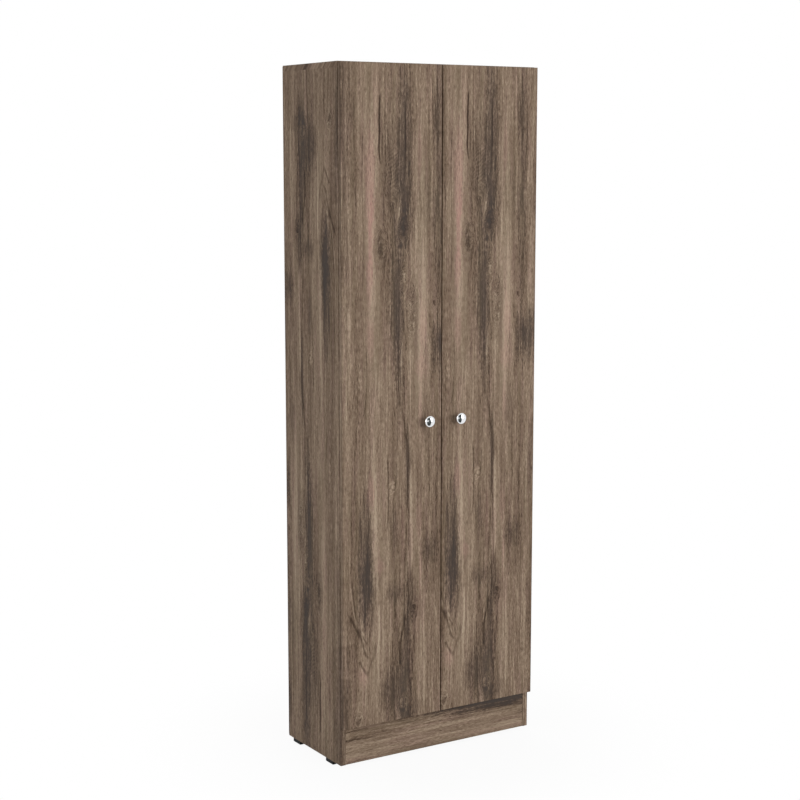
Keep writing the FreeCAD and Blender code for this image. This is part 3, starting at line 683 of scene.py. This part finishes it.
def turned(profile, sides, centre, axis):
    """A turned form: radius and height pairs, spun round an axis through the centre."""
    form = bmesh.new()
    rings = []
    turn = Vector((0, 0, 1)).rotation_difference(axis).to_matrix()
    for radius, height in profile:
        if radius == 0:
            rings.append([form.verts.new(centre + turn @ Vector((0, 0, height)))])
            continue
        ring = []
        for step in range(sides):
            angle = 2 * math.pi * step / sides
            point = Vector((radius * math.cos(angle), radius * math.sin(angle), height))
            ring.append(form.verts.new(centre + turn @ point))
        rings.append(ring)
    for low, high in zip(rings, rings[1:]):
        for step in range(sides):
            after = (step + 1) % sides
            corners = [low[step % len(low)], low[after % len(low)]]
            corners += [high[after % len(high)], high[step % len(high)]]
            face = form.faces.new(list(dict.fromkeys(corners)))
            face.smooth = True
    bmesh.ops.recalc_face_normals(form, faces=form.faces)
    return form


# The knobs: a short foot, a narrow waist and a head with a domed face
KNOB_SIDES = 72
CURVE_STEPS = 12
QUARTER_TURN = math.pi / 2
KNOB_FOOT = 5.0 * MM
KNOB_FOOT_HEIGHT = 1.2 * MM
KNOB_WAIST = 4.2 * MM
KNOB_RIM_HEIGHT = 19.6 * MM
HEAD_BACK_HEIGHT = 15.5 * MM


def knob_profile(head_radius, projection):
    """Radius and height pairs from the knob's foot to the middle of its face."""
    profile = [(0, 0), (KNOB_FOOT, 0), (KNOB_FOOT, KNOB_FOOT_HEIGHT)]
    for step in range(1, CURVE_STEPS):
        share = step / CURVE_STEPS
        pinch = math.sin(math.pi * share) * (KNOB_FOOT - KNOB_WAIST)
        height = KNOB_FOOT_HEIGHT + (HEAD_BACK_HEIGHT - KNOB_FOOT_HEIGHT) * share
        profile.append((KNOB_FOOT - pinch, height))
    under = head_radius - KNOB_FOOT
    rise = KNOB_RIM_HEIGHT - HEAD_BACK_HEIGHT
    for step in range(CURVE_STEPS + 1):
        turn = QUARTER_TURN * step / CURVE_STEPS
        height = HEAD_BACK_HEIGHT + rise * (1 - math.cos(turn))
        profile.append((KNOB_FOOT + under * math.sin(turn), height))
    for step in range(1, CURVE_STEPS):
        turn = QUARTER_TURN * step / CURVE_STEPS
        height = KNOB_RIM_HEIGHT + (projection - KNOB_RIM_HEIGHT) * math.sin(turn)
        profile.append((head_radius * math.cos(turn), height))
    profile.append((0, projection))
    return profile


def domed_knob(side):
    """A knob of one door, in the place and the outline of the CAD's own."""
    low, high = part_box(f"{side}_knob")
    centre = Vector(((low.x + high.x) / 2, high.y, (low.z + high.z) / 2))
    profile = knob_profile((high.x - low.x) / 2, high.y - low.y)
    form = turned(profile, KNOB_SIDES, centre, OUT_FRONT)
    piece = new_piece(f"{side}_domed_knob", form, chrome, f"{side}_door")
    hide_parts(f"{side}_knob")


domed_knob("left")
domed_knob("right")

# The cross recess of a screw, as shares of its head's radius
CROSS_REACH = 0.6
CROSS_HALF_WIDTH = 0.15
CROSS_TAPER = 0.75
EIGHTH_TURN = math.pi / 4
# The rounding of a screw head: shares of its radius and of its rise
HEAD_ROUNDING = ((1.0, 0.0), (1.0, 0.3), (0.92, 0.7), (0.74, 1.0))


def cross_edge(angle, radius):
    """How far from the middle the edge of a cross recess is, at an angle."""
    angle = abs((angle + EIGHTH_TURN) % QUARTER_TURN - EIGHTH_TURN)
    arm_end = CROSS_REACH * radius / math.cos(angle)
    return min(arm_end, CROSS_HALF_WIDTH * radius / math.sin(angle)) if angle else arm_end


def cross_head(form, centre, axis, radius, rise, recess=0.7):
    """Adds a rounded screw head with a cross recess, a share of its rise deep, to a form."""
    turn = Vector((0, 0, 1)).rotation_difference(Vector(axis)).to_matrix()
    corner = math.atan2(CROSS_HALF_WIDTH, CROSS_REACH)
    flank = (corner + EIGHTH_TURN) / 2
    arm = (0, corner, flank, EIGHTH_TURN, QUARTER_TURN - flank, QUARTER_TURN - corner)
    angles = [quarter * QUARTER_TURN + angle for quarter in range(4) for angle in arm]

    def ring(reaches, height):
        """A closed row of corners, one for each angle."""
        points = zip(angles, reaches)
        places = [Vector((reach * math.cos(a), reach * math.sin(a), height)) for a, reach in points]
        return [form.verts.new(Vector(centre) + turn @ place) for place in places]

    rings = [ring([radius * share] * len(angles), rise * height) for share, height in HEAD_ROUNDING]
    edge = [cross_edge(angle, radius) for angle in angles]
    rings.append(ring(edge, rise))
    rings.append(ring([reach * CROSS_TAPER for reach in edge], rise * (1 - recess)))
    for low, high in zip(rings, rings[1:]):
        for step in range(len(angles)):
            after = (step + 1) % len(angles)
            form.faces.new((low[step], low[after], high[after], high[step]))
    form.faces.new(rings[-1])
    form.faces.new(list(reversed(rings[0])))


def screws(name, places, radius, rise, body="carcass", slot="screw_steel", material=screw_steel):
    """One piece of all the screw heads of one kind; each place is a point and the way out."""
    form = bmesh.new()
    for centre, axis in places:
        cross_head(form, centre, axis, radius, rise)
    new_piece(name, form, material, body)


# Radius and rise of each kind of screw head
CUP_SCREW = (3.4 * MM, 1.0 * MM)
PLATE_SCREW = (3.6 * MM, 1.1 * MM)
ARM_SCREW = (3.2 * MM, 0.9 * MM)
WOOD_SCREW = (3.2 * MM, 1.0 * MM)
CAM_FACE = (6.6 * MM, 0.4 * MM)

# The screws of the hinges and of the knobs, with the hinges' heights
HINGE_HEIGHTS = (213 * MM, 900 * MM, 1714.5 * MM)
CUP_SCREW_SPREAD = 23 * MM
CUP_SCREW_INSET = 10.8 * MM
PLATE_SCREW_SPREAD = 17.5 * MM
PLATE_WING = 2 * MM
ARM_SCREW_SHARES = (0.22, 0.8)
KNOB_SCREW_RADIUS = 2 * MM
KNOB_SCREW_NECK = 0.6 * MM
KNOB_SCREW_LENGTH = 24 * MM
KNOB_SCREW_SIDES = 24
KNOB_SCREW_RECESS = 0.5
inner_half = abs(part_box("left_side_panel")[1].x)


def hinge_screws(side, hand):
    """The screws of one door's hinges: two in each cup, two in each plate and two in each arm."""
    inward = (-hand, 0, 0)
    cup_low, cup_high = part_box(f"{side}_hinge_cups")
    plate_low, plate_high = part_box(f"{side}_hinge_plates")
    arm_low, arm_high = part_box(f"{side}_hinge_arms")
    cup_inner = min(abs(cup_low.x), abs(cup_high.x))
    places = [
        ((hand * (cup_inner + CUP_SCREW_INSET), cup_high.y, z + lift), OUT_BACK)
        for z in HINGE_HEIGHTS
        for lift in (-CUP_SCREW_SPREAD, CUP_SCREW_SPREAD)
    ]
    screws(f"{side}_cup_screws", places, *CUP_SCREW, f"{side}_door")
    wing_face = inner_half - PLATE_WING
    wing_middle = (plate_low.y + plate_high.y) / 2
    places = [
        ((hand * wing_face, wing_middle, z + lift), inward)
        for z in HINGE_HEIGHTS
        for lift in (-PLATE_SCREW_SPREAD, PLATE_SCREW_SPREAD)
    ]
    screws(f"{side}_plate_screws", places, *PLATE_SCREW)
    web_face = min(abs(arm_low.x), abs(arm_high.x))
    places = [
        ((hand * web_face, plate_low.y + (plate_high.y - plate_low.y) * share, z), inward)
        for z in HINGE_HEIGHTS
        for share in ARM_SCREW_SHARES
    ]
    screws(f"{side}_arm_screws", places, *ARM_SCREW)


def knob_screw(side):
    """The screw that holds a knob from inside its door."""
    low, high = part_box(f"{side}_knob_screw")
    middle = Vector(((low.x + high.x) / 2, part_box(f"{side}_door")[1].y, (low.z + high.z) / 2))
    profile = [(0, 0), (KNOB_SCREW_RADIUS, KNOB_SCREW_NECK)]
    profile += [(KNOB_SCREW_RADIUS, KNOB_SCREW_LENGTH), (0, KNOB_SCREW_LENGTH)]
    form = turned(profile, KNOB_SCREW_SIDES, middle, OUT_FRONT)
    cross_head(form, middle, OUT_BACK, (high.x - low.x) / 2, high.y - middle.y, KNOB_SCREW_RECESS)
    piece = new_piece(f"{side}_cross_knob_screw", form, screw_steel, f"{side}_door")
    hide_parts(f"{side}_knob_screw")


for side, hand in (("left", -1), ("right", 1)):
    hinge_screws(side, hand)
    knob_screw(side)

# A screw through the upright leg of each shelf bracket
BRACKET_SCREW_DROP = 12 * MM
BRACKET_WALL = 2.5 * MM
HALF_BRACKET = 8 * MM
bracket_low, bracket_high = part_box("shelf_brackets")
bracket_face = inner_half - BRACKET_WALL
shelves = ["fixed_shelf"] + [f"loose_shelf_{number}" for number in range(1, 5)]
places = [
    ((hand * bracket_face, y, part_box(shelf)[0].z - BRACKET_SCREW_DROP), (-hand, 0, 0))
    for shelf in shelves
    for hand in (-1, 1)
    for y in (bracket_low.y + HALF_BRACKET, bracket_high.y - HALF_BRACKET)
]
screws("bracket_screws", places, *WOOD_SCREW)

# Two screws in each corner block, one into each board
BLOCK_FACE = 5 * MM
BLOCK_SIDE = 22 * MM
HALF_BLOCK = 15 * MM
BLOCK_SCREW_SPREAD = 8 * MM
PLINTH_BLOCKS = (-225 * MM, 0, 225 * MM)
top_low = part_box("top_panel")[0].z
plinth_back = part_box("plinth_board")[1].y
bottom_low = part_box("bottom_panel")[0].z
block_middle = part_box("corner_blocks")[1].y - HALF_BLOCK
places = []
for hand in (-1, 1):
    side_face = hand * (inner_half - BLOCK_SIDE)
    places.append(((side_face, block_middle - BLOCK_SCREW_SPREAD, top_low - BLOCK_FACE), (-hand, 0, 0)))
    foot = hand * (inner_half - BLOCK_FACE)
    places.append(((foot, block_middle + BLOCK_SCREW_SPREAD, top_low - BLOCK_SIDE), DOWN))
for x in PLINTH_BLOCKS:
    rear_face = plinth_back + BLOCK_SIDE
    places.append(((x - BLOCK_SCREW_SPREAD, rear_face, bottom_low - BLOCK_FACE), OUT_BACK))
    foot = plinth_back + BLOCK_FACE
    places.append(((x + BLOCK_SCREW_SPREAD, foot, bottom_low - BLOCK_SIDE), DOWN))
screws("block_screws", places, *WOOD_SCREW)

# The faces of the cam locks, with a cross slot for the screwdriver
CAM_INSET = 24 * MM
CAM_DEPTH = 60 * MM
cam_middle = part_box("left_side_panel")[0].y + CAM_DEPTH
places = []
for hand in (-1, 1):
    places.append(((hand * inner_half, cam_middle, top_low - CAM_INSET), (-hand, 0, 0)))
    places.append(((hand * (inner_half - CAM_INSET), cam_middle, bottom_low), DOWN))
screws("cam_faces", places, *CAM_FACE, slot="cam_zinc", material=zinc)

# Nails along the edges of the back
NAIL_RADIUS = 3.0 * MM
NAIL_RISE = 0.7 * MM
NAIL_SIDES = 12
NAIL_PITCH = 150 * MM
NAIL_MARGIN = 40 * MM
BOARD = 15 * MM
# Where the rows along the boards start beside the joint strip and end at the corners
ROW_START = 12 * MM
ROW_END = 10 * MM
# The crown of a nail: shares of its radius and of its rise
NAIL_CROWN = ((0, 0), (1, 0), (0.85, 0.7), (0.4, 1), (0, 1))


def along_edge(low, high):
    """Evenly spaced places between two ends, about one pitch apart."""
    low += NAIL_MARGIN
    high -= NAIL_MARGIN
    steps = round((high - low) / NAIL_PITCH)
    return [low + (high - low) * step / steps for step in range(steps + 1)]


back_low, back_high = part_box("left_back_panel")
cabinet_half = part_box("right_side_panel")[1].x
uprights = along_edge(back_low.z, back_high.z)
spans = along_edge(ROW_START, cabinet_half - ROW_END)
nailed_boards = [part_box(node) for node in ("top_panel", "fixed_shelf", "bottom_panel")]
levels = [(low.z + high.z) / 2 for low, high in nailed_boards]
nails = [(hand * (cabinet_half - BOARD / 2), z) for hand in (-1, 1) for z in uprights]
nails += [(hand * x, z) for hand in (-1, 1) for z in levels for x in spans]
nail_profile = [(NAIL_RADIUS * radius, NAIL_RISE * rise) for radius, rise in NAIL_CROWN]
nail_form = bmesh.new()
for x, z in nails:
    head = turned(nail_profile, NAIL_SIDES, Vector((x, back_high.y, z)), OUT_BACK)
    mesh = bpy.data.meshes.new("nail_head")
    head.to_mesh(mesh)
    head.free()
    nail_form.from_mesh(mesh)
    bpy.data.meshes.remove(mesh)
new_piece("back_nails", nail_form, screw_steel, "carcass")

# Camera, as it stood for the photograph, looking a little down and to the right
CAMERA_PLACE = (-2.403, -3.75675, 1.587)
CAMERA_DIP = 8.29
CAMERA_TURN = 32.15
camera_data = bpy.data.cameras.new("camera")
camera_data.lens = 75.645
camera_data.sensor_width = 36.0
camera_data.clip_end = 60.0
camera = bpy.data.objects.new("camera", camera_data)
bpy.context.collection.objects.link(camera)
camera.location = CAMERA_PLACE
camera.rotation_euler = (math.radians(90 - CAMERA_DIP), 0, math.radians(-CAMERA_TURN))
bpy.context.scene.camera = camera


def lamp(name, place, target, size, power):
    """A soft lamp, as wide and as high as its size says, that points at a target."""
    data = bpy.data.lights.new(name, "AREA")
    data.shape = "RECTANGLE"
    data.size, data.size_y = size
    data.energy = power
    light = bpy.data.objects.new(name, data)
    bpy.context.collection.objects.link(light)
    light.location = place
    light.rotation_euler = (Vector(target) - Vector(place)).to_track_quat("-Z", "Y").to_euler()


lamp("key_lamp", place=(2.4, -6.5, 2.1), target=(0.0, 0.0, 0.9), size=(5.2, 4.0), power=275)
lamp("side_lamp", place=(-4.6, -1.0, 2.2), target=(-0.3, 0.0, 0.9), size=(3.0, 3.0), power=53)
lamp("back_lamp", place=(1.6, 6.0, 2.2), target=(0.0, 0.2, 0.9), size=(3.6, 3.6), power=170)


def seen_directly(nodes):
    """1 for the rays that see the backdrop itself: from the camera, off gloss and through glass."""
    rays = ("Is Camera Ray", "Is Glossy Ray", "Is Transmission Ray")
    direct, glossy, through = (nodes.add("ShaderNodeLightPath", {}, {}, ray) for ray in rays)
    return direct.largest(glossy).largest(through)


# The studio's walls: soft light on the cabinet, plain white behind it
WALL_LIGHT = 0.4
world = bpy.data.worlds.new("studio")
world.use_nodes = True
bpy.context.scene.world = world
world.node_tree.nodes.clear()
walls = Nodes(world.node_tree)
soft = walls.add("ShaderNodeBackground", {}, {"Color": WHITE, "Strength": WALL_LIGHT})
white = walls.add("ShaderNodeBackground", {}, {"Color": WHITE, "Strength": 1.0})
either = walls.add("ShaderNodeMixShader", {}, {0: seen_directly(walls), 1: soft, 2: white})
walls.add("ShaderNodeOutputWorld", {}, {"Surface": either})

FLOOR_HALF = 12.0
FLOOR_GAP = 0.2 * MM
FLOOR_PAINT = (0.86, 0.86, 0.86, 1.0)
# The floor shows a little less than white near the cabinet, where its shadow lies, and white further away
SHADOW_NEAR = 220.0
SHADOW_FAR = 850.0
SHADOW_WHITENESS = 0.94


def floor_finish():
    """A pale floor that shows white and keeps a faint shadow close to the cabinet."""
    finish = Finish("pale_floor")
    x, y, z = finish.place()
    away = finish.add("ShaderNodeVectorMath", {"operation": "LENGTH"}, {0: finish.vector(x, y)}, "Value")
    clear = finish.smooth(away, SHADOW_NEAR, SHADOW_FAR, SHADOW_WHITENESS, 1.0)
    matt = finish.add("ShaderNodeBsdfDiffuse", {}, {"Color": FLOOR_PAINT})
    glow = finish.add("ShaderNodeEmission", {}, {"Color": WHITE, "Strength": 1.0})
    whiteness = seen_directly(finish) * clear
    mixed = finish.add("ShaderNodeMixShader", {}, {0: whiteness, 1: matt, 2: glow})
    finish.add("ShaderNodeOutputMaterial", {}, {"Surface": mixed})
    return finish.material


floor_form = bmesh.new()
bmesh.ops.create_grid(floor_form, x_segments=1, y_segments=1, size=FLOOR_HALF)
floor = placed_mesh("floor", floor_form, floor_finish())
floor.location.z = cad_box[0].z - FLOOR_GAP

# Dark cloths in the studio, in front of the doors, that only bright metal shows:
# each has its left, right, foot and top.
FLAG_DISTANCE = 0.77
FLAGS = [
    (-0.42, 0.27, 1.04, 1.58),
    (-0.06, 0.29, 0.85, 1.04),
    (-0.38, 0.31, 0.01, 0.85),
]
cloth = Finish("dark_flags")
cloth_glow = cloth.add("ShaderNodeEmission", {}, {"Color": shade(72, 76, 75), "Strength": 1.0})
cloth.add("ShaderNodeOutputMaterial", {}, {"Surface": cloth_glow})
flag_form = bmesh.new()
for left, right, foot, top in FLAGS:
    corners = ((left, foot), (right, foot), (right, top), (left, top))
    flag_form.faces.new([flag_form.verts.new((x, -FLAG_DISTANCE, z)) for x, z in corners])
flags = placed_mesh("dark_flags", flag_form, cloth.material)
flags.visible_camera = False
flags.visible_diffuse = False
flags.visible_shadow = False
flags.visible_transmission = False

bpy.context.scene.view_settings.view_transform = "Standard"
